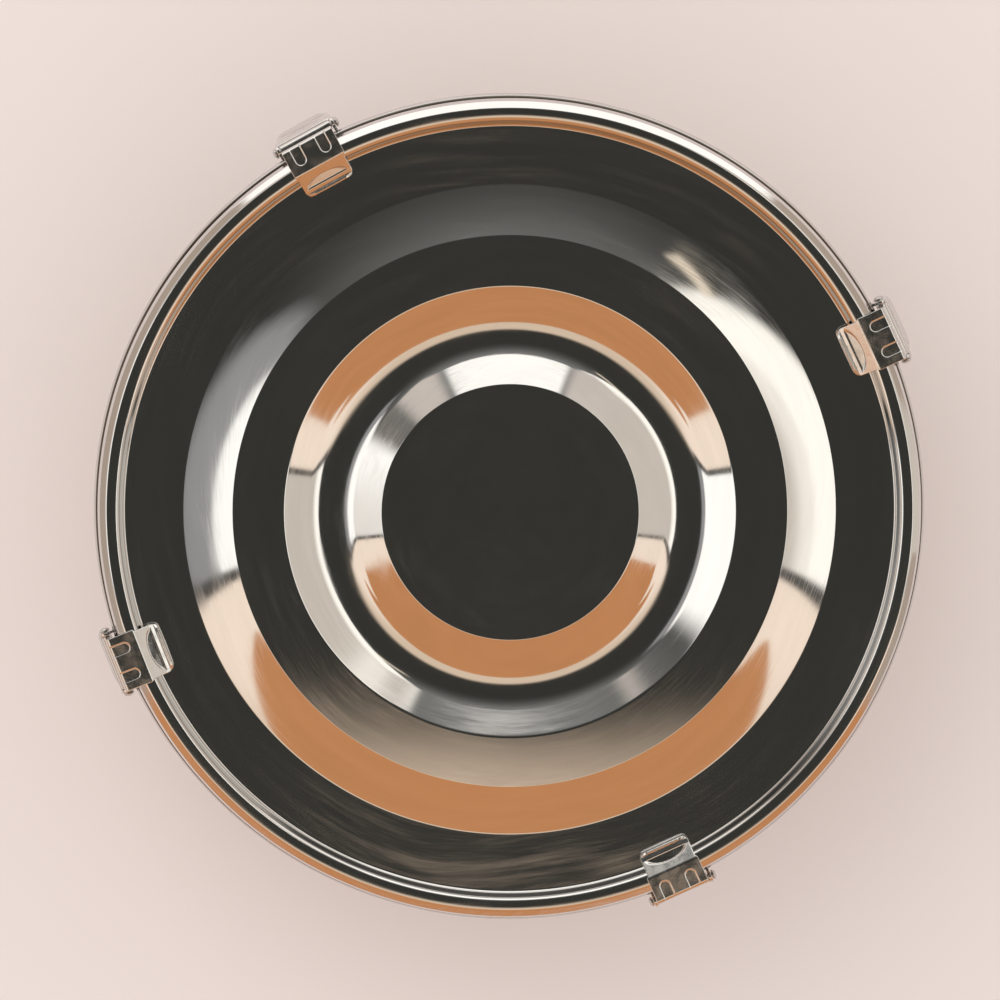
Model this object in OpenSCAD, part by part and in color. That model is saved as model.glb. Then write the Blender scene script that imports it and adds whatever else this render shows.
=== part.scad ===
// Round steel food carrier: one deep bowl, a stepped lid with a soft gasket, and four loose rim clips.
// Upright, +Z up, millimetres. The origin is on the axis, at the plane the bowl stands on.
// A sheet piece is a line of [radius, height, bend radius] points with a wall laid along it.

/* [Bowl] */
// Radius from the axis to the middle of the rolled bead
bead_r = 127.8; // [115:0.2:160]
// Height of the middle of the rolled bead above the table
bead_z = 94; // [60:1:160]
// How far the wall leans outward between the table and the neck
wall_lean = 12.9; // [4:0.1:22]
// Radius of the rolled bead's own tube, outside
bead_tube_r = 2.2; // [2:0.1:2.4]
// Thickness of the bowl's sheet
bowl_sheet = 0.6; // [0.4:0.1:0.8]
// Bend radius between the bowl's floor and its wall
bowl_corner_r = 12; // [8:0.5:16]
// Width of the flat ring the bowl stands on, with its inner step
foot_ring_w = 9; // [6:0.5:14]
// Height of the floor panel above the flat ring
floor_rise = 1.6; // [1:0.1:3]

/* [Lid] */
// Height of the lid's flat outer floor above the middle of the bead
lid_floor_above_bead = 5; // [4.8:0.1:6]
// Height of the lid's rim above its outer floor
rim_h = 4.8; // [4.4:0.1:5.2]
// How far the lid's outer edge stands beyond the middle of the bead
lid_overhang = 0.7; // [0.4:0.1:1.2]
// Width of the rim's top, from its inner shoulder to the outer edge
rim_top_w = 5.2; // [5:0.1:5.4]
// Bend radius of the rim's outer edge
rim_edge_r = 3.2; // [2.4:0.1:3.4]
// Width of the rim's inner slope, seen from above
rim_slope_w = 3.1; // [2.6:0.1:3.6]
// Thickness of the lid's sheet
lid_sheet = 0.6; // [0.4:0.1:0.7]
// Height of the raised ring's inner edge above the outer floor
ring_h = 6; // [3:0.1:7]
// How far the raised ring's top falls outward
ring_top_fall = 0.7; // [0:0.1:1.2]
// Width of the flat outer floor
floor_w = 18.2; // [16:0.1:20]
// Width of the raised ring's outer slope
ring_outer_slope_w = 15.7; // [12:0.1:17]
// Width of the raised ring's flat top
ring_top_w = 15.6; // [12:0.1:17]
// Width of the raised ring's inner slope
ring_inner_slope_w = 12.2; // [10:0.1:14]
// Width of the groove's bottom
groove_w = 7.5; // [6:0.1:9]
// Width of the slope from the groove up to the middle disc
disc_slope_w = 11; // [9:0.1:13]
// Height of the middle disc above the outer floor
disc_h = 6.5; // [3:0.1:8]
// Height of the groove's bottom above the outer floor
groove_h = 0; // [0:0.1:2]

/* [Gasket] */
// Depth of the gasket's lip below the top of the bead
gasket_lip_depth = 3; // [2:0.1:3.4]
// Thickness of the gasket's lip
gasket_lip_t = 1.3; // [1:0.1:1.5]

/* [Clips] */
// Angle of the first clip's even place round the rim
clip_first_angle = 24.85; // [20:0.05:30]
// How far each loose clip stands from its even place, in degrees
clip_drift = [0.25, 3.75, -3.55, -0.45]; // [-5:0.05:5]
// Thickness of the clips' sheet
clip_sheet = 0.8; // [0.6:0.1:0.9]
// Width of the hook's band
hook_w = 17.4; // [15:0.1:20]
// How far each side of the finger tab stands inside the band's side
tab_step = 0.9; // [0.3:0.1:2.5]
// How far the hook's inner bend stands outward of the rim's inner shoulder
bend_inset = 0.5; // [0.3:0.1:0.8]
// Reach of the finger tab beyond the inner bend
tab_reach = 7.9; // [7:0.1:9]
// Height of the tab's tip above the lid's outer floor
tab_tip_lift = 1.6; // [1:0.05:2.2]
// Height of the turned-up lip at the tab's tip
tab_lip_h = 1.7; // [1.5:0.1:2.2]
// How far the lip leans away from the tab
tab_lip_lean = 0.6; // [0.4:0.1:1]
// Depth of the ribs pressed into the band, on which it rests
rib_depth = 0.5; // [0.3:0.05:0.6]
// Width of each pressed rib
rib_w = 3.5; // [2.5:0.1:4]
// Length of each pressed rib
rib_len = 5; // [4:0.1:5.4]
// Width of the plain band between each rib and the band's side
rib_margin = 2.6; // [2:0.1:3.2]
// Radial gap between the strap's upper end and the bead's widest line
strap_gap = 1.3; // [1:0.1:1.6]
// How far the strap leans inward down to its knuckle
strap_lean = 0.8; // [0.5:0.1:0.9]
// Radius of the hinge pin
pin_r = 0.8; // [0.7:0.05:1]
// Wall of the knuckle round the pin
knuckle_wall = 0.8; // [0.8:0.05:1.1]
// Height of the pin below the middle of the bead
pin_below_bead = 0.5; // [0:0.1:1]
// Thickness of the lever's two ears
ear_t = 1; // [0.8:0.1:1.6]
// How far the lever's plate narrows on each side at its free end
lever_taper = 1; // [0.5:0.1:3]
// Length of the lever's plate below the pin
lever_len = 20; // [16:0.5:30]
// How far the plate flares outward over its length
lever_flare = 1.6; // [0.8:0.1:3]
// Reach of the claws round the bead, in degrees from straight out
claw_reach = 100; // [80:1:110]
// Width of the claws' metal
claw_w = 1.6; // [1.2:0.1:2]

/* [Clearances] */
// Running clearance of the pin in its holes, on the radius
pin_clear = 0.05; // [0.02:0.01:0.08]
// Gap between the knuckle and each ear
side_gap = 0.3; // [0.2:0.05:0.4]
// Gap between the claws and the bead, with the clip closed
claw_gap = 0.3; // [0.2:0.05:0.4]
// Gap between the gasket and the bowl
gasket_gap = 0.3; // [0.2:0.05:0.5]
// Gap between the gasket and the lid's skirt
gasket_side_gap = 0.2; // [0.1:0.05:0.3]
// Gap between the lid's skirt and the bowl's bead
skirt_gap = 0.9; // [0.7:0.1:1.4]
// Gap between the ribs and the lid's rim
rest_gap = 0.05; // [0.03:0.01:0.1]
// Gap between each ear and the pin's head
head_gap = 0.2; // [0.1:0.05:0.3]

/* [Hidden] */
CLIPS = 4;
$fn = 96;

// Places that several pieces share
bead_line_r = bead_tube_r - bowl_sheet / 2;
bead_top_z = bead_z + bead_tube_r;
mouth_r = bead_r - bead_tube_r;
neck_r = bead_r - bead_line_r;
foot_r = neck_r - wall_lean;
lid_z = bead_z + lid_floor_above_bead;
rim_z = lid_z + rim_h;
lid_r = bead_r + lid_overhang;
rim_in_r = lid_r - rim_top_w;
rim_foot_r = rim_in_r - rim_slope_w;
ring_foot_r = rim_foot_r - floor_w;
ring_out_r = ring_foot_r - ring_outer_slope_w;
ring_in_r = ring_out_r - ring_top_w;
groove_out_r = ring_in_r - ring_inner_slope_w;
groove_in_r = groove_out_r - groove_w;
disc_r = groove_in_r - disc_slope_w;
skirt_z = bead_top_z + skirt_gap;
roof_z = rim_z - lid_sheet;
skirt_in_r = lid_r - lid_sheet;
crease_r = lid_sheet + 0.1;
neck_len = 3.5;

// Clip places, on the clip's own radius, tangent and height
knuckle_r = pin_r + pin_clear + knuckle_wall;
strap_r = bead_r + bead_tube_r + strap_gap;
pin_place_r = strap_r - strap_lean + knuckle_r;
pin_z = bead_z - pin_below_bead;
band_z = rim_z + rest_gap + rib_depth;
bend_r = rim_in_r + bend_inset;
tab_tip_r = bend_r - tab_reach;
tab_tip_z = lid_z + tab_tip_lift;
tab_w = hook_w - 2 * tab_step;
rib_pitch = hook_w - 2 * rib_margin - rib_w;
ear_in_y = hook_w / 2 + side_gap;
lever_w = 2 * (ear_in_y + ear_t);
lever_end_w = lever_w - 2 * lever_taper;
head_r = pin_r + 0.8;
head_t = 1.2;
ear_r = knuckle_r + 0.5;
plate_drop = knuckle_r - 0.1;
plate_r = pin_place_r + 1.2;
flange_len = 7.5;
// The bead curves away behind the ears, so the claws stand nearer the axis by this much
ear_y = ear_in_y + ear_t / 2;
claw_inset = bead_r - sqrt(bead_r * bead_r - ear_y * ear_y);

function unit(v) = v / norm(v);
function flip(points) = [for (i = [len(points) - 1 : -1 : 0]) points[i]];

// Points of an arc about a centre
function arc(centre, r, from, to, steps) =
    [for (i = [0 : steps]) centre + r * [cos(from + (to - from) * i / steps), sin(from + (to - from) * i / steps)]];

// Points of a bend of radius r at b, between the straights from a and to c
function bend(a, b, c, r, steps) =
    let (
        u = unit(a - b),
        v = unit(c - b),
        half = acos(u * v) / 2,
        start = b + u * r / tan(half),
        centre = b + unit(u + v) * r / sin(half),
        from = atan2(start.y - centre.y, start.x - centre.x),
        finish = b + v * r / tan(half),
        turn = (atan2(finish.y - centre.y, finish.x - centre.x) - from + 540) % 360 - 180
    )
    arc(centre, r, from, from + turn, steps);

function flat(p) = [p.x, p.y];

// A line of [x, y, bend radius] points, with each bend drawn as an arc
function smooth(line, steps = 6) =
    [for (i = [0 : len(line) - 1])
        each (i > 0 && i < len(line) - 1 && line[i].z > 0
            ? bend(flat(line[i - 1]), flat(line[i]), flat(line[i + 1]), line[i].z, steps)
            : [flat(line[i])])];

// The same line moved to its left by d
function beside(line, d) =
    [for (i = [0 : len(line) - 1])
        let (
            last = len(line) - 1,
            into = unit(line[max(i, 1)] - line[max(i, 1) - 1]),
            out = unit(line[min(i, last - 1) + 1] - line[min(i, last - 1)]),
            n = [-into.y, into.x],
            m = [-out.y, out.x]
        )
        line[i] + (n + m) * d / (1 + n * m)];

// Closed outline of a sheet whose two faces lie d and e to the left of a line
function sheet(line, d, e) = concat(beside(line, d), flip(beside(line, e)));

// Outline of a rectangle from [x0, y0] to [x1, y1] with its four corners rounded
function rounded(x0, y0, x1, y1, r) = concat(
    arc([x1 - r, y1 - r], r, 0, 90, 8), arc([x0 + r, y1 - r], r, 90, 180, 8),
    arc([x0 + r, y0 + r], r, 180, 270, 8), arc([x1 - r, y0 + r], r, 270, 360, 8));

// Outline points in radius and height, swept across a clip's width
module across(w) {
    rotate([90, 0, 0])
        linear_extrude(w, center = true)
            children();
}

// A clip's piece, moved to its place round the rim
module at_clip(n) {
    rotate([0, 0, clip_first_angle + 360 / CLIPS * (n - 1) + clip_drift[n - 1]])
        children();
}

// The middle of the bowl's sheet: floor, foot, wall, neck and the bead rolled outward
function bowl_line() =
    let (
        foot_z = bowl_sheet / 2,
        flat_in_r = foot_r - bowl_corner_r - foot_ring_w
    )
    concat(
        smooth([
            [0, foot_z + floor_rise, 0],
            [flat_in_r - 3, foot_z + floor_rise, 2.5],
            [flat_in_r, foot_z, 2.5],
            [foot_r, foot_z, bowl_corner_r],
            [neck_r, bead_z - neck_len, 8],
            [neck_r, bead_z - 0.5, 0]]),
        arc([bead_r, bead_z], bead_line_r, 180, -110, 36));

module container_bowl() {
    color("gainsboro")
        rotate_extrude()
            polygon(sheet(bowl_line(), bowl_sheet / 2, -bowl_sheet / 2));
}

// The top face of the lid: disc, groove, raised ring, outer floor, rim and skirt
function lid_line() =
    smooth([
        [0, lid_z + disc_h, 0],
        [disc_r, lid_z + disc_h, crease_r],
        [groove_in_r, lid_z + groove_h, 6],
        [groove_out_r, lid_z + groove_h, 6],
        [ring_in_r, lid_z + ring_h, crease_r],
        [ring_out_r, lid_z + ring_h - ring_top_fall, crease_r],
        [ring_foot_r, lid_z, crease_r + 0.8],
        [rim_foot_r, lid_z, 1.3],
        [rim_in_r, rim_z, crease_r + 0.2],
        [lid_r, rim_z, rim_edge_r],
        [lid_r, skirt_z, 0]]);

module lid_shell() {
    color("silver")
        rotate_extrude()
            polygon(sheet(lid_line(), 0, -lid_sheet));
}

// The gasket fills the rim's channel above the bead, with a lip that reaches down inside the bowl's mouth
module lid_gasket() {
    outer_r = skirt_in_r - gasket_side_gap;
    inner_r = rim_in_r + lid_sheet + 0.4;
    seat_z = bead_top_z + gasket_gap;
    lip_r = mouth_r - gasket_gap;
    corner_r = rim_edge_r - lid_sheet;
    color("ivory")
        rotate_extrude()
            polygon(concat(
                [[lip_r, bead_top_z - gasket_lip_depth],
                    [lip_r, seat_z],
                    [outer_r, seat_z]],
                arc([outer_r - corner_r, roof_z - corner_r], corner_r, 0, 90, 6),
                [[inner_r, roof_z],
                    [inner_r - 0.2, roof_z - 2],
                    [lip_r - gasket_lip_t, seat_z + 1],
                    [lip_r - gasket_lip_t, bead_top_z - gasket_lip_depth]]));
}

// One rib pressed down into the band: a long pad with a round inner end
module rib_outline() {
    rib_end_r = strap_r - 1;
    translate([rib_end_r - rib_len + rib_w / 2, 0])
        circle(rib_w / 2);
    translate([rib_end_r - rib_len + rib_w / 2, -rib_w / 2])
        square([rib_len - rib_w / 2, rib_w]);
}

// The hook: finger tab, band over the rim, strap down the outside and a knuckle round the pin
module clip_hook(n) {
    inner_face = smooth([
        [tab_tip_r - tab_lip_lean, tab_tip_z + tab_lip_h, 0],
        [tab_tip_r, tab_tip_z, clip_sheet + 0.2],
        [bend_r, band_z, 1],
        [strap_r, band_z, 0.6],
        [strap_r - strap_lean, pin_z, 0]], 5);
    crown_z = band_z + clip_sheet;
    color("silver")
        at_clip(n)
            difference() {
                union() {
                    intersection() {
                        across(hook_w)
                            union() {
                                polygon(sheet(inner_face, 0, clip_sheet));
                                translate([pin_place_r, pin_z])
                                    circle(knuckle_r);
                            }
                        hook_plan();
                    }
                    for (side = [-1, 1])
                        translate([0, side * rib_pitch / 2, band_z - rib_depth])
                            linear_extrude(rib_depth + clip_sheet / 4)
                                rib_outline();
                }
                for (side = [-1, 1])
                    translate([0, side * rib_pitch / 2, crown_z - rib_depth])
                        linear_extrude(rib_depth + 1)
                            intersection() {
                                translate([-0.5, 0])
                                    rib_outline();
                                square([2 * strap_r, rib_w - 0.8], center = true);
                            }
                translate([pin_place_r, 0, pin_z])
                    rotate([90, 0, 0])
                        cylinder(h = hook_w + 2, r = pin_r + pin_clear, center = true);
            }
}

// Plan of the hook: the tab is narrower than the band, with a rounded tip
module hook_plan() {
    far_r = pin_place_r + knuckle_r + 1;
    linear_extrude(2 * rim_z)
        union() {
            polygon(rounded(bend_r - 0.8, -hook_w / 2, far_r + 2, hook_w / 2, 1));
            polygon(rounded(tab_tip_r - tab_lip_lean, -tab_w / 2, strap_r, tab_w / 2, 2.6));
        }
}

// Side view of an ear: a disc round the pin, a claw under the bead and a flange that fades into the plate
module ear_outline() {
    bead_at = [bead_r - claw_inset, bead_z];
    claw_in_r = bead_tube_r + claw_gap;
    claw_out_r = claw_in_r + claw_w;
    far = claw_out_r + 3;
    difference() {
        union() {
            translate([pin_place_r, pin_z])
                circle(ear_r);
            intersection() {
                translate(bead_at)
                    circle(claw_out_r);
                polygon(concat([bead_at], arc(bead_at, far, -claw_reach, -12, 6)));
            }
            polygon([
                [pin_place_r - 1.6, pin_z - ear_r * 0.75],
                [plate_r + clip_sheet / 2, pin_z - plate_drop - flange_len],
                [plate_r + clip_sheet, pin_z - plate_drop - flange_len + 1],
                [plate_r + clip_sheet, pin_z - plate_drop],
                [pin_place_r + 1.2, pin_z]]);
        }
        translate(bead_at)
            circle(claw_in_r);
    }
}

// The lever: two ears with claws, joined by a plate that flares down and outward to a turned lip
module clip_lever(n) {
    end_z = pin_z - lever_len;
    top_z = pin_z - plate_drop;
    plate_face = smooth([
        [plate_r, top_z, 0],
        [plate_r, top_z - 3, 12],
        [plate_r + lever_flare, end_z + 1.5, 2],
        [plate_r + lever_flare + 0.9, end_z, 0]], 5);
    color("lightgray")
        at_clip(n)
            difference() {
                union() {
                    intersection() {
                        across(lever_w)
                            polygon(sheet(plate_face, 0, clip_sheet));
                        lever_front();
                    }
                    for (side = [-1, 1])
                        translate([0, side * ear_y, 0])
                            across(ear_t)
                                ear_outline();
                }
                translate([pin_place_r, 0, pin_z])
                    rotate([90, 0, 0])
                        cylinder(h = lever_w + 2, r = pin_r + pin_clear, center = true);
            }
}

// Front view of the lever's plate: full width by the ears, narrower and rounded at the free end
module lever_front() {
    end_z = pin_z - lever_len;
    waist_z = pin_z - plate_drop - flange_len;
    rotate([90, 0, 90])
        linear_extrude(2 * pin_place_r)
            union() {
                polygon(rounded(-lever_w / 2, waist_z, lever_w / 2, pin_z, 0.8));
                polygon(rounded(-lever_end_w / 2, end_z, lever_end_w / 2, pin_z, 3));
            }
}

// The hinge pin: a shaft through both ears and the knuckle, with a flat head at each end
module clip_pin(n) {
    head_y = lever_w / 2 + head_gap;
    color("gray")
        at_clip(n)
            translate([pin_place_r, 0, pin_z])
                rotate([90, 0, 0])
                    union() {
                        cylinder(h = 2 * (head_y + head_t), r = pin_r, center = true);
                        for (side = [-1, 1])
                            translate([0, 0, side * (head_y + head_t / 2)])
                                cylinder(h = head_t, r = head_r, center = true);
                    }
}

container_bowl();
lid_shell();
lid_gasket();
for (n = [1 : CLIPS]) {
    clip_hook(n);
    clip_lever(n);
    clip_pin(n);
}
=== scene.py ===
import math
import bpy
import numpy as np
from mathutils import Matrix, Vector


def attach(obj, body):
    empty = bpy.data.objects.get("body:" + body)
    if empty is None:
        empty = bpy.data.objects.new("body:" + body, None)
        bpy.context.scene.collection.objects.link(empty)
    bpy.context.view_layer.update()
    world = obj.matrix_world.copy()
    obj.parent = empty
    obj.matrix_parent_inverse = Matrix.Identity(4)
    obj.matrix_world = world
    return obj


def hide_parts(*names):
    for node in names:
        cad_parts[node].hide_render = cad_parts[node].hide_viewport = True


# Looks of a round steel food carrier: spun bowl, pressed lid, soft gasket and four spring clips.
# Every surface is worked out point by point in millimetres, on the radii and heights of the part's
# source, and goes into its mesh in metres.

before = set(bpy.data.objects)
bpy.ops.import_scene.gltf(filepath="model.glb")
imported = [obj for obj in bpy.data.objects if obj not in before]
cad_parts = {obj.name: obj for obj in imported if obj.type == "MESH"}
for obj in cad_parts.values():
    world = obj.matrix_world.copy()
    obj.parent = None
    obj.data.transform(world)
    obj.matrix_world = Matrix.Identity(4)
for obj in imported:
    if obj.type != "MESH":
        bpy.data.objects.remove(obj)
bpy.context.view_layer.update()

MM = 0.001

# Bowl
BEAD_R, BEAD_Z, BEAD_TUBE = 127.75, 94.0, 2.2
BOWL_SHEET = 0.6
BEAD_LINE = BEAD_TUBE - BOWL_SHEET / 2
BEAD_TOP = BEAD_Z + BEAD_TUBE
MOUTH_R = BEAD_R - BEAD_TUBE
NECK_R = BEAD_R - BEAD_LINE
WALL_LEAN = 12.9
FOOT_R = NECK_R - WALL_LEAN
FOOT_CORNER_R, FOOT_RING_W, FLOOR_RISE = 12, 9, 1.6
NECK_LEN, NECK_BEND_R = 3.5, 8

# Lid
LID_Z, LID_R, LID_SHEET = 99.0, 128.5, 0.6
RIM_H, SKIRT_GAP = 4.8, 0.9
RIM_Z = LID_Z + RIM_H
RIM_IN_R, RIM_FOOT_R = 123.3, 120.2
RING_FOOT_R, RING_OUT_R, RING_IN_R = 102.0, 86.3, 70.7
GROOVE_OUT_R, GROOVE_IN_R, DISC_R = 58.5, 51.0, 40.0
RING_IN_H, RING_OUT_H, DISC_H = 6.0, 5.3, 6.5
SKIRT_Z = BEAD_TOP + SKIRT_GAP
ROOF_Z = RIM_Z - LID_SHEET
RING_SAG, RING_CROWN, RIM_CROWN = 1.05, 0.16, 0.45

# Gasket
GASKET_GAP, GASKET_SIDE_GAP = 0.3, 0.2
GASKET_LIP_T, GASKET_LIP_DEPTH = 1.3, 3

# Clips
CLIP_ANGLES = [25.1, 118.6, 201.3, 294.4]
CLIP_SHEET = 0.8
EDGE_R, PIN_CLEAR = 0.16, 0.05
PIN_R, PIN_PLACE_R, PIN_Z = 0.8, 132.15, 93.5
STRAP_R, STRAP_LEAN = 131.3, 0.8
BAND_Z = RIM_Z + 0.55
BEND_R = RIM_IN_R - 0.1
TAB_TIP_R, TAB_TIP_Z = 115.9, 100.6
TAB_LIP_H, TAB_LIP_LEAN = 1.7, 0.6
TAB_CREASE_R, TAB_CREASE_RISE = 118.3, 0.9
TAB_CORNER_R, TAB_BOW = 2.6, 0.5
HOOK_HALF, TAB_HALF = 8.7, 8.1
RIB_Y, RIB_HALF, RIB_IN_R, RIB_DEPTH = 4.35, 1.75, 125.5, 0.22
DISH_R, DISH_OUT, DISH_SIDE = 117.8, 3.0, 7.3
DISH_STEP, DISH_SLOPE = 0.1, 0.3
LEVER_HALF, LEVER_END_HALF, LEVER_LEN = 10.0, 9.0, 20
LEVER_CORNER_R, LEVER_FLARE = 3, 1.6
PLATE_R = PIN_PLACE_R + 1.2
DIMPLE_S, DIMPLE_LONG, DIMPLE_WIDE, DIMPLE_DEPTH = 11.5, 4.5, 5.5, 0.25
EAR_MID, EAR_HALF, EAR_R = 9.5, 0.5, 2.15
CLAW_SHIFT, CLAW_R = 0.354, 3.3
HEAD_GAP, HEAD_T, HEAD_R = 0.2, 1.2, PIN_R + 0.8


# ---------------------------------------------------------------- lines

def unit(v):
    return v / np.linalg.norm(v)


def cut(start, end, reach):
    """A straight cut into lengths of at most `reach`, with short lengths at both ends that keep flats flat in
    the shading: point = start + (end - start) * s / length."""
    length = np.linalg.norm(end - start)
    even = np.linspace(0, length, max(int(np.ceil(length / reach)), 1) + 1)
    near = np.array([0.12, 0.5])
    near = near[near < length / 2 - 0.05]
    s = np.sort(np.concatenate([even, near, length - near]))
    s = s[np.concatenate([[True], np.diff(s) > 0.04])]
    s[-1] = length
    return start + (end - start) * (s / length)[:, None]


def bent(corners, steps=7, reach=2.0):
    """Line through [out, up, bend radius] corners. A bend is the arc that touches both straights: it starts
    r / tan(half angle) before the corner and is drawn about the point r / sin(half angle) from it."""
    place = [np.array(c[:2], float) for c in corners]
    parts, last = [], place[0]
    for before, here, after, corner in zip(place, place[1:], place[2:], corners[1:-1]):
        radius = corner[2]
        if radius <= 0:
            parts.append(cut(last, here, reach))
            last = here
            continue
        u, v = unit(before - here), unit(after - here)
        half = math.acos(np.clip(u @ v, -1, 1)) / 2
        start, finish = here + u * radius / math.tan(half), here + v * radius / math.tan(half)
        centre = here + unit(u + v) * radius / math.sin(half)
        a, b = (math.atan2(*(p - centre)[::-1]) for p in (start, finish))
        turn = (b - a + 3 * math.pi) % (2 * math.pi) - math.pi
        angle = a + turn * np.linspace(0, 1, steps + 1)
        parts.append(cut(last, start, reach))
        parts.append(centre + radius * np.stack([np.cos(angle), np.sin(angle)], 1))
        last = finish
    parts.append(cut(last, place[-1], reach))
    return joined(parts)


def joined(parts):
    """Lines end to end, with a point that repeats the one before it left out."""
    line = np.concatenate(parts)
    keep = np.linalg.norm(np.diff(line, axis=0), axis=1) > 1e-4
    return line[np.concatenate([[True], keep])]


def lengths(line):
    """How far each point of a line lies from its start, along the line."""
    return np.concatenate([[0], np.cumsum(np.linalg.norm(np.diff(line, axis=0), axis=1))])


def corner_pull(distance, radius):
    """What a round corner takes off a strip's half width at a distance from its end: r - sqrt(r^2 - d^2),
    where d is how far the corner's centre lies beyond that distance."""
    beyond = np.clip(radius - distance, 0, None)
    return radius - np.sqrt(np.clip(radius ** 2 - beyond ** 2, 0, None))


def arc(centre, radius, first, last, steps):
    """Points centre + radius * [cos a, sin a], with a in degrees from first to last."""
    a = np.radians(np.linspace(first, last, steps + 1))
    return np.array(centre) + radius * np.stack([np.cos(a), np.sin(a)], 1)


def left_of(line):
    """Mitred normals to the left of a line, long enough to keep a wall's thickness at a corner:
    (n + m) / (1 + n . m) for the normals n and m of the two straights that meet."""
    d = np.diff(line, axis=0)
    n = np.stack([-d[:, 1], d[:, 0]], 1) / np.linalg.norm(d, axis=1)[:, None]
    before, after = np.concatenate([n[:1], n]), np.concatenate([n, n[-1:]])
    return (before + after) / (1 + (before * after).sum(1, keepdims=True))


def shell(line, left, right, steps=6):
    """Closed outline of a sheet laid along a line: out along its left face, round its end, back along its
    right face. The round end is centre + half * (normal cos a + ahead sin a), a from 0 to 180 degrees."""
    normal = left_of(line)
    one, two = line + normal * left, line + normal * right
    middle, half = (one[-1] + two[-1]) / 2, (left - right) / 2
    a = np.linspace(0, np.pi, steps + 1)[1:-1, None]
    tip = middle + half * (unit(normal[-1]) * np.cos(a) + unit(line[-1] - line[-2]) * np.sin(a))
    return np.concatenate([one, tip, two[::-1]])


# ---------------------------------------------------------------- surfaces

def quads(rows, cols, wrap_rows=False):
    """Faces of a grid of rows x cols points whose columns close on themselves."""
    i = np.arange(rows if wrap_rows else rows - 1)[:, None]
    j = np.arange(cols)[None, :]
    here, onward, beside = i * cols, (i + 1) % rows * cols, (j + 1) % cols
    return np.stack([here + j, onward + j, onward + beside, here + beside], -1).reshape(-1, 4)


def turned(line, segments, ring=False):
    """Surface of revolution: a point [r, z] of the line goes to [r cos a, r sin a, z] at equal angles a. A
    ring's line closes on itself. Otherwise its two ends lie on the axis and each becomes one pole."""
    a = np.arange(segments) * 2 * np.pi / segments
    body = line if ring else line[1:-1]
    r, z = body[:, :1], body[:, 1:]
    points = np.stack([r * np.cos(a), r * np.sin(a), z + 0 * a], -1).reshape(-1, 3)
    faces = quads(len(body), segments, ring).tolist()
    if not ring:
        j = np.arange(segments)
        k = (j + 1) % segments
        first, last = len(points), len(points) + 1
        end = (len(body) - 1) * segments
        faces += np.stack([0 * j + first, j, k], 1).tolist()
        faces += np.stack([0 * j + last, end + k, end + j], 1).tolist()
        points = np.concatenate([points, [[0, 0, line[0, 1]], [0, 0, line[-1, 1]]]])
    return points, faces


def box_section(columns, corner, steps=3):
    """Rounded-rectangle section of a bar as three rows: share of the half width, share of the half thickness,
    and the corner's own [side, up] offset. It runs over the top from -y to +y, then back underneath."""
    a = np.linspace(0, np.pi / 2, steps + 1)
    up, side = np.cos(a) * corner, np.sin(a) * corner
    one = np.ones(steps + 1)
    top = np.stack([columns, 0 * columns + 1, 0 * columns, 0 * columns + corner], 1)
    right_top = np.stack([one, one, side, up], 1)[1:]
    right_low = np.stack([one, -one, side[::-1], -up[::-1]], 1)
    half = np.concatenate([top, right_top, right_low])
    return np.concatenate([half, half * [-1, -1, -1, -1]])


def bar(line, half_w, half_t, columns, corner, form=None, middle=0.0, bow=None):
    """Bar or sheet along a line in a clip's [out, up] plane: point = line(s) + left normal * (thickness +
    form(s, y)), and y across. half_w and half_t are numbers or one value for each point of the line. bow
    moves the points of the first rows along the line, as -bow * (y / half width)^2. Both ends are zipped."""
    normal = left_of(line)
    ahead = np.gradient(line, axis=0)
    ahead /= np.linalg.norm(ahead, axis=1)[:, None]
    s = lengths(line)
    w = np.broadcast_to(half_w, s.shape)[:, None]
    t = np.broadcast_to(half_t, s.shape)[:, None]
    share_w, share_t, off_y, off_h = box_section(columns, corner).T
    y = share_w * (w - corner) + off_y
    h = share_t * (t - corner) + off_h
    if form is not None:
        h = h + form(s[:, None], y)
    along = 0 * y if bow is None else bow(s[:, None], y)
    flat = line[:, None] + normal[:, None] * h[..., None] + ahead[:, None] * along[..., None]
    points = np.stack([flat[..., 0], y + middle, flat[..., 1]], -1)
    rows, cols = y.shape
    faces = quads(rows, cols).tolist()
    k = np.arange(cols // 2 - 1)
    back = cols - 1 - k
    zipped = np.stack([k, k + 1, back - 1, back], 1)
    faces += zipped.tolist() + ((rows - 1) * cols + zipped[:, ::-1]).tolist()
    return points.reshape(-1, 3), faces


def together(*surfaces):
    """Several closed surfaces as one piece."""
    points, faces, count = [], [], 0
    for p, f in surfaces:
        points.append(p)
        faces += [[i + count for i in face] for face in f]
        count += len(p)
    return np.concatenate(points), faces


def at_clip(points, n):
    """Clip points [out, along the rim, up] turned to the clip's own angle about the axis."""
    a = math.radians(CLIP_ANGLES[n - 1])
    out, side, up = points.T
    return np.stack([out * math.cos(a) - side * math.sin(a), out * math.sin(a) + side * math.cos(a), up], 1)


def ease(x, low, high):
    """Smooth step from 0 at low to 1 at high: t^2 (3 - 2 t)."""
    t = np.clip((x - low) / (high - low), 0, 1)
    return t * t * (3 - 2 * t)


def piece(name, surface, body, node, material):
    """One named piece at the origin, which rides on its body in place of its solid."""
    points, faces = surface
    mesh = bpy.data.meshes.new(name)
    mesh.from_pydata((points * MM).tolist(), [], faces)
    mesh.polygons.foreach_set("use_smooth", np.ones(len(mesh.polygons), bool))
    mesh.materials.append(material)
    mesh.update()
    obj = bpy.data.objects.new(name, mesh)
    bpy.context.scene.collection.objects.link(obj)
    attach(obj, body)
    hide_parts(node)


# ---------------------------------------------------------------- materials

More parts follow.
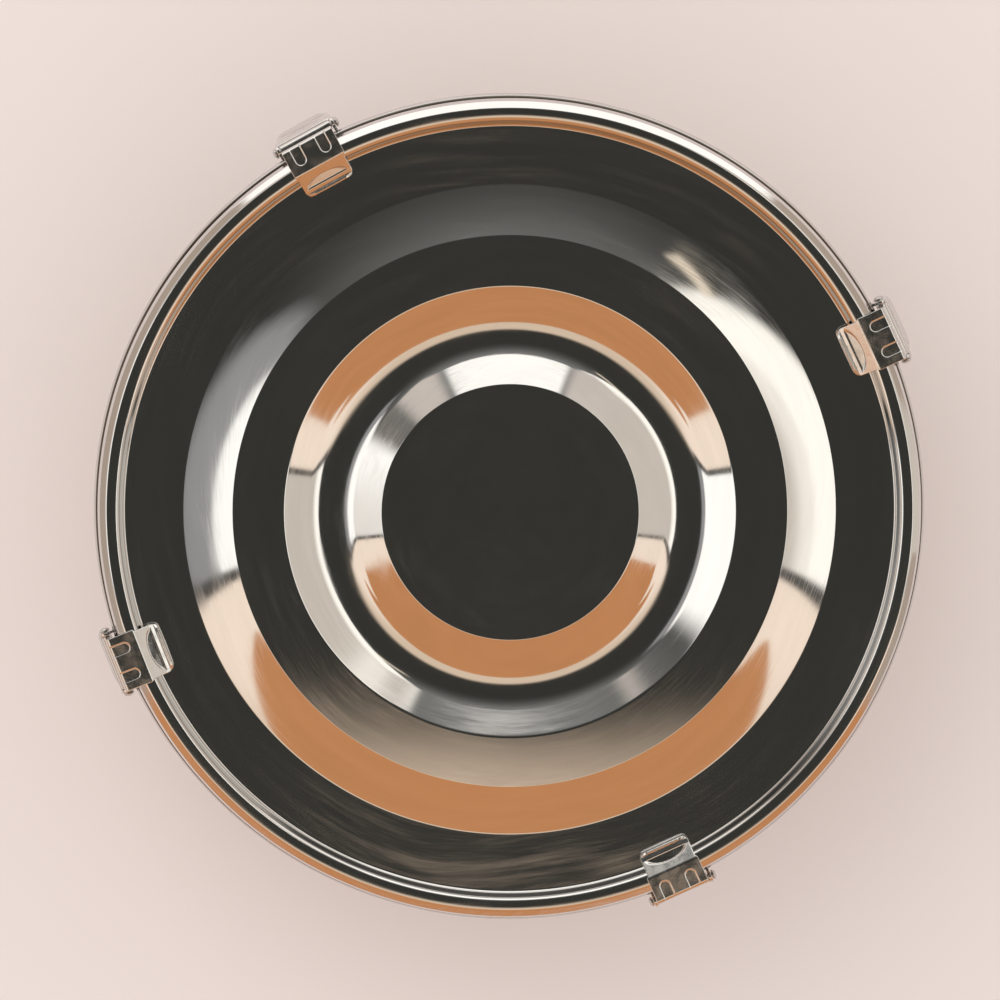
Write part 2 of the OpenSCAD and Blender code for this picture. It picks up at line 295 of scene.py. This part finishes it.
class Nodes:
    """Short ways to add and join the nodes of one material or world."""

    def __init__(self, tree):
        self.tree = tree
        tree.nodes.clear()

    def add(self, kind, inputs=(), **settings):
        node = self.tree.nodes.new(kind)
        for key, value in settings.items():
            setattr(node, key, value)
        for key, value in dict(inputs).items():
            self.put(node.inputs[key], value)
        return node

    def put(self, socket, value):
        if isinstance(value, bpy.types.NodeSocket):
            self.tree.links.new(value, socket)
        else:
            socket.default_value = value

    def sum(self, operation, a, b=0.0, c=0.0):
        return self.add("ShaderNodeMath", {0: a, 1: b, 2: c}, operation=operation).outputs[0]

    def vec(self, operation, a, b=(0, 0, 0)):
        node = self.add("ShaderNodeVectorMath", {0: a, 1: b}, operation=operation)
        return node.outputs["Value" if operation == "LENGTH" else "Vector"]

    def step(self, value, low, high, to_low=0.0, to_high=1.0):
        """Smooth step of a value from low to high, onto to_low to to_high."""
        node = self.add(
            "ShaderNodeMapRange",
            {"Value": value, "From Min": low, "From Max": high, "To Min": to_low, "To Max": to_high},
            interpolation_type="SMOOTHSTEP")
        return node.outputs[0]

    def blend(self, share, a, b):
        node = self.add("ShaderNodeMix", data_type="RGBA")
        for index, value in ((0, share), (6, a), (7, b)):
            self.put(node.inputs[index], value)
        return node.outputs[2]

    def noise(self, place, scale, detail=3.0, roughness=0.55):
        node = self.add(
            "ShaderNodeTexNoise",
            {"Vector": place, "Scale": scale, "Detail": detail, "Roughness": roughness})
        return node.outputs["Fac"]


def colour(r, g, b):
    return (r, g, b, 1.0)


def darker(tone, share):
    return colour(*[c * share for c in tone])


# Dark tone for painted shade, mixed into the steel's colour in gaps and across the rim's inner slope
PAINTED_SHADE_TONE = (0.10, 0.085, 0.07)
SOFT_WAVE = 0.00002


def new_material(name):
    material = bpy.data.materials.new(name)
    material.use_nodes = True
    return material, Nodes(material.node_tree)


def finish_material(kit, shader):
    out = kit.add("ShaderNodeOutputMaterial")
    kit.put(out.inputs["Surface"], shader.outputs[0])


def spun_steel(name, tone, polish, haze, painted_shades):
    """Spun and pressed steel. Fine lines run round the axis: noise is read at [direction from the axis,
    radius and height many times over, drifting a little], so that it is drawn out along circles. Grain finer
    than a third of a millimetre and long soft smears change the roughness, and the gloss is stretched across
    them. Each shade is a band of radii and heights whose colour is painted darker: painted shade where two
    faces lie close together, and a painted dark band across a slope."""
    material, kit = new_material(name)
    place = kit.add("ShaderNodeTexCoord").outputs["Object"]
    flat = kit.vec("MULTIPLY", place, (1, 1, 0))
    away = kit.vec("NORMALIZE", flat)
    radius = kit.vec("LENGTH", flat)
    height = kit.add("ShaderNodeSeparateXYZ", {0: place}).outputs["Z"]
    drift = kit.sum("MULTIPLY", kit.noise(place, 9.0, 1.0), 0.02)
    depth = kit.sum("ADD", kit.sum("ADD", radius, height), drift)

    def rings(round_scale, depth_scale):
        spot = kit.vec("MULTIPLY", away, (round_scale, round_scale, 0))
        deep = kit.add("ShaderNodeCombineXYZ", {"Z": kit.sum("MULTIPLY", depth, depth_scale)}).outputs[0]
        return kit.vec("ADD", spot, deep)

    grain = kit.noise(rings(9, 6000), 1.0, 2.0)
    smear = kit.noise(rings(2.4, 260), 1.0, 4.0, 0.55)
    cloud = kit.noise(place, 15.0, 2.0)
    share = kit.sum("MULTIPLY", kit.step(smear, 0.4, 0.7), kit.step(cloud, 0.35, 0.65))
    rough = kit.sum("ADD", polish, kit.sum("MULTIPLY", share, haze * 1.8))
    rough = kit.sum("ADD", rough, kit.step(grain, 0.42, 0.72, 0.0, haze))
    tint = kit.blend(kit.step(smear, 0.3, 0.7), darker(tone, 0.95), colour(*tone))
    # Painted shade: each band's colour is mixed towards the dark tone
    for low_r, high_r, low_z, high_z, painted_shade_share in painted_shades:
        inside = kit.sum("MULTIPLY", kit.step(radius, low_r - 0.0004, low_r, 0.0, painted_shade_share),
                         kit.step(radius, high_r + 0.0004, high_r))
        inside = kit.sum("MULTIPLY", inside, kit.step(height, low_z - 0.0006, low_z))
        inside = kit.sum("MULTIPLY", inside, kit.step(height, high_z + 0.0006, high_z))
        tint = kit.blend(inside, tint, colour(*PAINTED_SHADE_TONE))
    bump = kit.add("ShaderNodeBump", {
        "Strength": 1.0, "Distance": SOFT_WAVE, "Height": kit.noise(place, 42.0, 1.0)})
    shader = kit.add("ShaderNodeBsdfPrincipled", {
        "Base Color": tint, "Metallic": 1.0, "Roughness": rough, "Anisotropic": 0.7,
        "Tangent": away, "Normal": bump.outputs[0]})
    finish_material(kit, shader)
    return material


def pressed_steel(name, tone, polish, lines):
    """Bright sheet or wire: fine polishing marks and faint smears, from noise on Object coordinates."""
    material, kit = new_material(name)
    place = kit.add("ShaderNodeTexCoord").outputs["Object"]
    fine = kit.noise(kit.vec("MULTIPLY", place, (1, 1, 0.35)), 2600.0, 3.0)
    smear = kit.noise(place, 260.0, 3.0)
    dull = kit.step(smear, 0.35, 0.7, polish, polish + 0.12)
    rough = kit.sum("ADD", dull, kit.step(fine, 0.3, 0.7, 0, 0.05))
    tint = kit.blend(smear, darker(tone, 0.93), colour(*tone))
    bump = kit.add("ShaderNodeBump", {"Strength": 1.0, "Distance": SOFT_WAVE, "Height": smear})
    bump = kit.add("ShaderNodeBump", {
        "Strength": 1.0, "Distance": lines, "Height": fine, "Normal": bump.outputs[0]})
    shader = kit.add("ShaderNodeBsdfPrincipled", {
        "Base Color": tint, "Metallic": 1.0, "Roughness": rough, "Normal": bump.outputs[0]})
    finish_material(kit, shader)
    return material


def milky_silicone(name):
    """Soft moulded silicone: slightly uneven milky tone, a fine matte grain and a little depth."""
    material, kit = new_material(name)
    place = kit.add("ShaderNodeTexCoord").outputs["Object"]
    grain = kit.noise(place, 3500.0, 2.0)
    cloud = kit.noise(place, 90.0, 3.0)
    tint = kit.blend(kit.step(cloud, 0.3, 0.7), colour(0.80, 0.79, 0.75), colour(0.88, 0.87, 0.84))
    bump = kit.add("ShaderNodeBump", {"Strength": 0.6, "Distance": 0.00003, "Height": grain})
    shader = kit.add("ShaderNodeBsdfPrincipled", {
        "Base Color": tint, "Roughness": kit.step(grain, 0.2, 0.8, 0.42, 0.6),
        "Subsurface Weight": 0.25, "Subsurface Scale": 0.002, "Normal": bump.outputs[0]})
    finish_material(kit, shader)
    return material


# Each painted shade is low and high radius, low and high height, in metres, and its share. Under the lid's
# skirt and on the bead's upper side it is painted shade in the gap between lid and bowl
SKIRT_PAINTED_SHADE = (0.1283, 0.13, 0.096, 0.0982, 1.0)
# Painted dark band across the middle of the rim's inner slope, which splits its reflection into two bright
# lines
RIM_FOOT_PAINTED_SHADE = (0.1210, 0.1215, 0.0995, 0.1030, 0.6)
BEAD_PAINTED_SHADE = (0.126, 0.1290, 0.0948, 0.098, 1.0)

LID_STEEL = spun_steel("lid_steel", (0.71, 0.70, 0.69), 0.05, 0.05, [SKIRT_PAINTED_SHADE, RIM_FOOT_PAINTED_SHADE])
BOWL_STEEL = spun_steel("bowl_steel", (0.67, 0.66, 0.65), 0.13, 0.1, [BEAD_PAINTED_SHADE])
CLIP_STEEL = pressed_steel("clip_steel", (0.72, 0.71, 0.70), 0.1, 0.0000012)
PIN_STEEL = pressed_steel("pin_steel", (0.62, 0.61, 0.60), 0.2, 0.0000015)
SILICONE = milky_silicone("gasket_silicone")


# ---------------------------------------------------------------- bowl, lid and gasket

def bowl():
    """Floor, foot, leaning wall, upright neck and a bead rolled outward through 290 degrees."""
    foot_z = BOWL_SHEET / 2
    floor_z = foot_z + FLOOR_RISE
    flat_r = FOOT_R - FOOT_CORNER_R - FOOT_RING_W
    wall = bent([
        (0, floor_z, 0), (flat_r - 3, floor_z, 2.5), (flat_r, foot_z, 2.5), (FOOT_R, foot_z, FOOT_CORNER_R),
        (NECK_R, BEAD_Z - NECK_LEN, NECK_BEND_R), (NECK_R, BEAD_Z - 0.5, 0)], 12, 4.0)
    line = joined([wall, arc((BEAD_R, BEAD_Z), BEAD_LINE, 180, -110, 40)])
    return turned(shell(line, BOWL_SHEET / 2, -BOWL_SHEET / 2), 320)


def lid_face():
    """The lid's upper face. With t from 0 to 1 across them, the raised ring's outer slope sags by
    1.05 t (1 - t), its top is crowned by 0.16 t (1 - t) and the rim's by 0.45 t (1 - t). The groove is two
    slow curves that meet, and the rim's outer side is a soft cone between two bends."""
    line = bent([
        (0, LID_Z + DISC_H, 0), (DISC_R, LID_Z + DISC_H, 0.8), (GROOVE_IN_R + 0.8, LID_Z, 13.4),
        (GROOVE_OUT_R + 0.8, LID_Z, 14.6), (RING_IN_R - 0.3, LID_Z + RING_IN_H, 1.6),
        (RING_OUT_R, LID_Z + RING_OUT_H, 0.8), (RING_FOOT_R, LID_Z, 1.5), (RIM_FOOT_R + 0.2, LID_Z, 0.8),
        (RIM_IN_R - 1.45, RIM_Z, 1.7), (RIM_IN_R + 2.4, RIM_Z, 1.4), (LID_R - 0.6, RIM_Z - 1.8, 1.2),
        (LID_R, RIM_Z - 4.3, 1.5), (LID_R, SKIRT_Z, 0)], 10, 1.6)
    for first, last, rise in ((RING_OUT_R, RING_FOOT_R, -RING_SAG), (RING_IN_R, RING_OUT_R, RING_CROWN),
                              (RIM_IN_R - 0.4, RIM_IN_R + 2.6, RIM_CROWN)):
        t = np.clip((line[:, 0] - first) / (last - first), 0, 1)
        line[:, 1] += rise * t * (1 - t)
    return line


def gasket():
    """Ring of silicone, turned from one closed outline: a pad that fills the rim, and a lip in the mouth."""
    outer, inner = LID_R - LID_SHEET - GASKET_SIDE_GAP, RIM_IN_R + LID_SHEET + 0.4
    seat = BEAD_TOP + GASKET_GAP
    lip, lip_t, lip_z = MOUTH_R - GASKET_GAP, GASKET_LIP_T, BEAD_TOP - GASKET_LIP_DEPTH
    line = bent([
        (inner + 1, ROOF_Z, 0), (outer - 2.2, ROOF_Z, 1.2), (outer, ROOF_Z - 2.4, 1.0), (outer, seat, 0.5),
        (lip, seat, 0.25), (lip, lip_z, 0.5), (lip - lip_t, lip_z, 0.5), (lip - lip_t, seat + 1, 1),
        (inner - 0.2, ROOF_Z - 2, 1), (inner, ROOF_Z, 0.4), (inner + 1, ROOF_Z, 0)], 6, 0.5)
    return turned(line[:-1], 240, ring=True)


piece("bowl", bowl(), "container", "container_bowl", BOWL_STEEL)
piece("lid", turned(shell(lid_face(), 0, -LID_SHEET), 320), "lid", "lid_shell", LID_STEEL)
piece("gasket", gasket(), "lid", "lid_gasket", SILICONE)


# ---------------------------------------------------------------- clips

def hook():
    """Finger tab with a turned-up lip, band over the rim, strap and a knuckle curled round the pin, as one
    sheet laid along a bent line. The tab's tip has round corners and is bowed by TAB_BOW (y / half)^2."""
    half = CLIP_SHEET / 2
    face = bent([
        (TAB_TIP_R - TAB_LIP_LEAN, TAB_TIP_Z + TAB_LIP_H, 0), (TAB_TIP_R, TAB_TIP_Z, 1.0),
        (TAB_CREASE_R, TAB_TIP_Z + TAB_CREASE_RISE, 2.0), (BEND_R, BAND_Z, 1.0),
        (STRAP_R, BAND_Z, 0.6), (STRAP_R - STRAP_LEAN, PIN_Z, 0)], 10, 0.14)
    line = face + left_of(face) * half
    curl = PIN_PLACE_R - STRAP_R + STRAP_LEAN - half
    line = joined([line, arc((PIN_PLACE_R, PIN_Z), curl, 182, 465, 40)])
    s = lengths(line)
    out = line[:, 0]
    band_start = s[np.argmax(out > BEND_R - 0.4)]
    fold = s[np.argmax(out > STRAP_R - 0.4)]
    width = TAB_HALF - corner_pull(s, TAB_CORNER_R)
    width = width + (HOOK_HALF - TAB_HALF) * ease(s, band_start - 0.7, band_start + 0.3)
    columns = np.linspace(-1, 1, 109)

    def form(at, y):
        """Two ribs pressed down, each a long pad with a round inner end that fades past the outer fold:
        its outline is where the distance from the pad's middle line is RIB_HALF. Then a D-shaped dish in the
        tab: its depth grows by DISH_SLOPE for each millimetre from its straight side to its round side."""
        radius = np.interp(at, s, out)
        before = np.clip(RIB_IN_R + RIB_HALF - radius, 0, None)
        inside = np.hypot(before, np.abs(np.abs(y) - RIB_Y)) - RIB_HALF
        rib = -RIB_DEPTH * ease(-inside, -0.1, 0.16) * ease(-at, -fold - 1.6, -fold + 0.4)
        rib = rib * ease(at, band_start, band_start + 0.6)
        across, deep = y / DISH_SIDE, (radius - DISH_R) / DISH_OUT
        edge = np.maximum(np.hypot(across, np.clip(deep, 0, None)) - 1, -deep * 0.8)
        tab = ease(-radius, -BEND_R + 0.4, -BEND_R + 1.4) * ease(at, 2.0, 2.6)
        depth = DISH_STEP + DISH_SLOPE * np.clip(radius - DISH_R, 0, None)
        return rib - depth * ease(-edge, -0.02, 0.16) * tab

    def bow(at, y):
        return TAB_BOW * (y / TAB_HALF) ** 2 * ease(-at, -2.4, 0)

    return bar(line, width, half, columns, EDGE_R, form, bow=bow)


def lever():
    """Flared plate with a turned end and a shallow oval dimple, and on each side an ear that is turned round
    the pin, a flange that narrows downward and a claw along an arc under the bead."""
    half = CLIP_SHEET / 2
    top, end = PIN_Z - 1.55, PIN_Z - LEVER_LEN
    face = bent([
        (PLATE_R, top, 0), (PLATE_R, top - 3, 12), (PLATE_R + LEVER_FLARE, end + 1.5, 2),
        (PLATE_R + 2.5, end, 0)], 8, 0.35)
    line = face + left_of(face) * half
    s = lengths(line)
    waist = ease(s, 7.2, 9.2) * (LEVER_HALF - LEVER_END_HALF)
    width = LEVER_HALF - waist - corner_pull(s[-1] - s, LEVER_CORNER_R)

    def dimple(at, y):
        inside = 1 - np.hypot(y / DIMPLE_WIDE, (at - DIMPLE_S) / DIMPLE_LONG)
        return -DIMPLE_DEPTH * ease(inside, -0.05, 0.12)

    surfaces = [bar(line, width, half, np.linspace(-1, 1, 41), EDGE_R, dimple)]
    claw = arc((BEAD_R - CLAW_SHIFT, BEAD_Z), CLAW_R, -12, -100, 24)
    tip = np.linspace(0, 1, len(claw))
    claw_half = 0.8 - 0.35 * ease(tip, 0.8, 1.0)
    flange = cut(np.array([PIN_PLACE_R + 0.4, PIN_Z - 1.2]), np.array([PLATE_R + 0.6, 84.6]), 0.5)
    down = np.linspace(0, 1, len(flange))
    hole = PIN_R + PIN_CLEAR
    ear = bent([(hole, -EAR_HALF, 0), (EAR_R, -EAR_HALF, 0.18), (EAR_R, EAR_HALF, 0.18),
                (hole, EAR_HALF, 0), (hole, -EAR_HALF, 0)], 3, 0.5)[:-1][::-1]
    few = np.linspace(-1, 1, 5)
    for side in (-1, 1):
        place = side * EAR_MID
        surfaces.append(bar(claw[::-1], EAR_HALF - 0.01, claw_half[::-1], few, EDGE_R, middle=place))
        surfaces.append(bar(flange, EAR_HALF - 0.02, 1.45 - 1.2 * down, few, 0.14, middle=place))
        surfaces.append(round_pin(turned(ear, 48, ring=True), place))
    return together(*surfaces)


def round_pin(surface, middle=0.0):
    """A shape turned about the up axis, laid along the pin: out = x, along the rim = -z, up = y."""
    points, faces = surface
    x, y, z = points.T
    return np.stack([PIN_PLACE_R + x, middle - z, PIN_Z + y], 1), faces


def pin():
    """Shaft with a domed, slightly flattened head at each end, turned from half an outline and its mirror."""
    head = LEVER_HALF + HEAD_GAP
    side = bent([
        (0, head + HEAD_T, 0), (HEAD_R * 0.55, head + HEAD_T, 1.2), (HEAD_R, head + 0.55, 0.25),
        (HEAD_R, head, 0.2), (PIN_R, head, 0.1), (PIN_R, 0, 0)], 5, 0.6)
    line = joined([side, side[::-1] * [1, -1]])
    return round_pin(turned(line, 40))


HOOK, LEVER, PIN = hook(), lever(), pin()
for n in range(1, 5):
    for kind, (points, faces), steel in (
            ("hook", HOOK, CLIP_STEEL), ("lever", LEVER, CLIP_STEEL), ("pin", PIN, PIN_STEEL)):
        piece(f"{kind}_{n}", (at_clip(points, n), faces), f"clip_{n}_{kind}", f"clip_{kind}_{n}",
              steel)


# ---------------------------------------------------------------- studio

OVERHEAD, OVERHEAD_FAR = (0.047, 0.0465, 0.041), (0.25, 0.25, 0.24)
ROOM_LOW, ROOM_HIGH = (0.54, 0.44, 0.36), (0.86, 0.76, 0.66)
LEFT_BORDER, LEFT_WHITE = (0.40, 0.395, 0.39), (1.5, 1.47, 1.4)
RIGHT_WHITE, RIGHT_SOFT, RIGHT_END = (1.5, 1.44, 1.32), (1.25, 1.18, 1.06), (0.80, 0.72, 0.63)
GLINT = (1.1, 0.95, 0.75)
FAR_PALE, FAR_WHITE = (0.80, 0.72, 0.65), (1.5, 1.46, 1.38)
WALL_MIDDLE, WALL_SIDE, WALL_EDGE = (0.92, 0.72, 0.54), (1.25, 1.04, 0.86), (0.12, 0.11, 0.1)
TABLE = (0.72, 0.32, 0.135)


def studio_light():
    """The world that metal reflects, by direction: dark overhead, a soft white panel at the left, the right
    and the far side, a pale wall and then a warm table at the near side, and a pale room round the
    horizon. u and v are the tangents of the angles from straight up, to the right and to the far side."""
    world = bpy.data.worlds.new("studio")
    world.use_nodes = True
    world.cycles.sampling_method = "NONE"
    kit = Nodes(world.node_tree)
    direction = kit.add("ShaderNodeTexCoord").outputs["Generated"]
    x, y, z = kit.add("ShaderNodeSeparateXYZ", {0: direction}).outputs
    high = kit.sum("MAXIMUM", z, 0.03)
    u, v = kit.sum("DIVIDE", x, high), kit.sum("DIVIDE", y, high)
    wide = kit.sum("ABSOLUTE", u)
    above = kit.step(z, 0.3, 0.5)

    def paint(base, tone, *masks):
        """The base, with a tone where all the masks are 1."""
        share = masks[0]
        for mask in masks[1:]:
            share = kit.sum("MULTIPLY", share, mask)
        return kit.blend(share, base, colour(*tone))

    dark = kit.blend(kit.step(v, 0.3, 1.2), colour(*OVERHEAD), colour(*OVERHEAD_FAR))
    room = kit.blend(kit.step(z, 0.25, 0.5), colour(*ROOM_LOW), colour(*ROOM_HIGH))
    light = kit.blend(kit.step(z, 0.50, 0.60), room, dark)

    # How far a direction lies from the wall's upper edge, and from the table's
    wall = kit.sum("ADD", v, kit.sum("ADD", kit.sum("MULTIPLY", wide, 0.19), 0.19))
    table = kit.sum("ADD", v, kit.step(kit.sum("DIVIDE", 1.0, high), 1.47, 1.64, 0.59, 0.85))
    past_wall = kit.step(wall, 0.0, 0.02)

    # Left panel, with a grey border towards the middle
    left = (past_wall, kit.step(v, 0.64, 0.44), kit.step(u, -1.7, -1.5))
    light = paint(light, LEFT_BORDER, kit.step(u, -0.56, -0.66), *left)
    light = paint(light, LEFT_WHITE, kit.step(u, -0.83, -0.87), *left)

    # Right panel, brightest at its inner edge, and a narrow glint beside it
    right = (past_wall, kit.step(v, 1.15, 0.95))
    light = paint(light, RIGHT_WHITE, kit.step(u, 0.60, 0.65), *right)
    light = paint(light, RIGHT_SOFT, kit.step(u, 0.84, 0.88), *right)
    light = paint(light, RIGHT_END, kit.step(u, 0.93, 1.08), *right)
    slant = kit.sum("ABSOLUTE", kit.sum("ADD", v, kit.sum("MULTIPLY_ADD", u, 0.2, -0.65)))
    light = paint(light, GLINT, kit.step(slant, 0.04, 0.02), kit.step(u, 0.44, 0.47), kit.step(u, 0.66, 0.62))

    # Far side: a pale patch at each hand, and a panel from well above the horizon down to it
    light = paint(light, FAR_PALE, kit.step(wide, 0.60, 0.74), kit.step(v, 0.84, 0.94), above)
    spread = kit.sum("ADD", kit.sum("MULTIPLY", y, kit.step(z, 0.15, 0.5, 1.0, 0.5)),
                     kit.sum("MULTIPLY", kit.sum("ABSOLUTE", x), -1.0))
    light = paint(light, FAR_WHITE, kit.step(v, 1.14, 1.22), kit.step(spread, -0.03, 0.03))

    # Near side: the wall, the thin dark line along its edge, and the table
    pale = kit.blend(kit.step(wide, 0.2, 0.7), colour(*WALL_MIDDLE), colour(*WALL_SIDE))
    on_wall = kit.step(wall, 0.02, kit.step(wide, 0.25, 0.6, -0.1, -0.02))
    light = kit.blend(kit.sum("MULTIPLY", on_wall, above), light, pale)
    at_edge = kit.step(kit.sum("ABSOLUTE", wall), 0.035, 0.01)
    light = paint(light, WALL_EDGE, at_edge, kit.step(wide, 0.45, 0.65), above)
    near = kit.step(kit.sum("ADD", y, kit.step(z, 0.2, 0.5, 0.5, 0.3)), 0.0, -0.08)
    light = paint(light, TABLE, kit.step(table, 0.01, -0.02), near)

    seen = kit.add("ShaderNodeBackground", {"Color": colour(0.92, 0.92, 0.92), "Strength": 1.06})
    panels = kit.add("ShaderNodeBackground", {"Color": light, "Strength": 1.0})
    glossy = kit.add("ShaderNodeLightPath").outputs["Is Glossy Ray"]
    mix = kit.add("ShaderNodeMixShader", {0: glossy, 1: seen.outputs[0], 2: panels.outputs[0]})
    out = kit.add("ShaderNodeOutputWorld")
    kit.put(out.inputs["Surface"], mix.outputs[0])
    bpy.context.scene.world = world


def floor():
    """Wide pale floor under the bowl, faintly mottled."""
    material, kit = new_material("pale_floor")
    place = kit.add("ShaderNodeTexCoord").outputs["Object"]
    cloud = kit.noise(place, 2.5, 3.0)
    tint = kit.blend(cloud, colour(0.80, 0.69, 0.645), colour(0.83, 0.715, 0.67))
    shader = kit.add("ShaderNodeBsdfPrincipled", {"Base Color": tint, "Roughness": 0.9})
    finish_material(kit, shader)
    side = 8.0
    corners = [(-side, -side, 0), (side, -side, 0), (side, side, 0), (-side, side, 0)]
    mesh = bpy.data.meshes.new("floor")
    mesh.from_pydata(corners, [], [(0, 1, 2, 3)])
    mesh.materials.append(material)
    obj = bpy.data.objects.new("floor", mesh)
    obj.location.z = -0.0002
    bpy.context.scene.collection.objects.link(obj)


def soft_lamp(name, place, size, power):
    """A square lamp that faces the origin and isn't seen in the metal."""
    lamp = bpy.data.lights.new(name, "AREA")
    lamp.size = size
    lamp.energy = power
    obj = bpy.data.objects.new(name, lamp)
    obj.location = place
    obj.rotation_mode = "QUATERNION"
    obj.rotation_quaternion = (-Vector(place)).to_track_quat("-Z", "Y")
    obj.visible_glossy = False
    bpy.context.scene.collection.objects.link(obj)


def camera():
    """Looks down on the lid from 6 degrees off its axis, from 1.8 m, with the photograph's framing."""
    target, towards = Vector((-3.04, 3.13, 97.0)) * MM, Vector((-0.019, 0.102, 0.9946)).normalized()
    distance, sensor, frame_width = 1.8, 36, 0.3123
    data = bpy.data.cameras.new("camera")
    data.sensor_width = sensor
    data.lens = sensor * distance / frame_width
    data.clip_start, data.clip_end = 0.01, 50
    obj = bpy.data.objects.new("camera", data)
    back = towards
    right = Vector((0, 1, 0)).cross(back).normalized()
    up = back.cross(right)
    turn = Matrix((right, up, back)).transposed().to_4x4()
    obj.matrix_world = Matrix.Translation(target + back * distance) @ turn
    bpy.context.scene.collection.objects.link(obj)
    bpy.context.scene.camera = obj


studio_light()
floor()
soft_lamp("key_lamp", (-0.6, 0.9, 1.6), 1.2, 6.0)
camera()
bpy.context.scene.view_settings.view_transform = "Standard"
